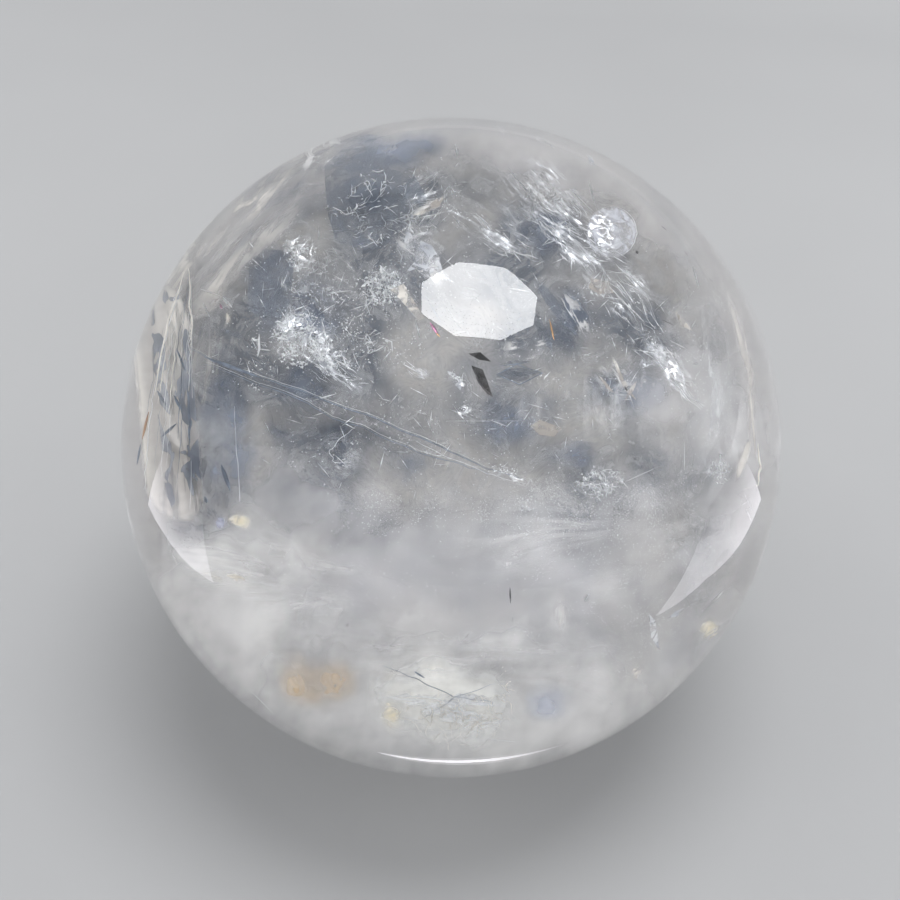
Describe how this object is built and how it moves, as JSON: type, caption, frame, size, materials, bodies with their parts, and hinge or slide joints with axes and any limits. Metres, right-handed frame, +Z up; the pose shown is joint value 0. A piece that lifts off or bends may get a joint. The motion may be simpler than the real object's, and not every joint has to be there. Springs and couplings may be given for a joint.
{
  "type": "quartz sphere",
  "caption": "Polished sphere of clear quartz with white veils, fractures and milky haze inside, standing on a small flat spot ground on its base.",
  "frame": {"origin": "centre of the flat spot that the sphere stands on", "axes": "+Z up through the sphere's centre; -Y is the side that faces the camera"},
  "size_m": [0.1, 0.1, 0.0992],
  "materials": {
    "polished_quartz": "polished"
  },
  "bodies": {
    "root": {"quartz_sphere": "polished_quartz"}
  },
  "joints": []
}
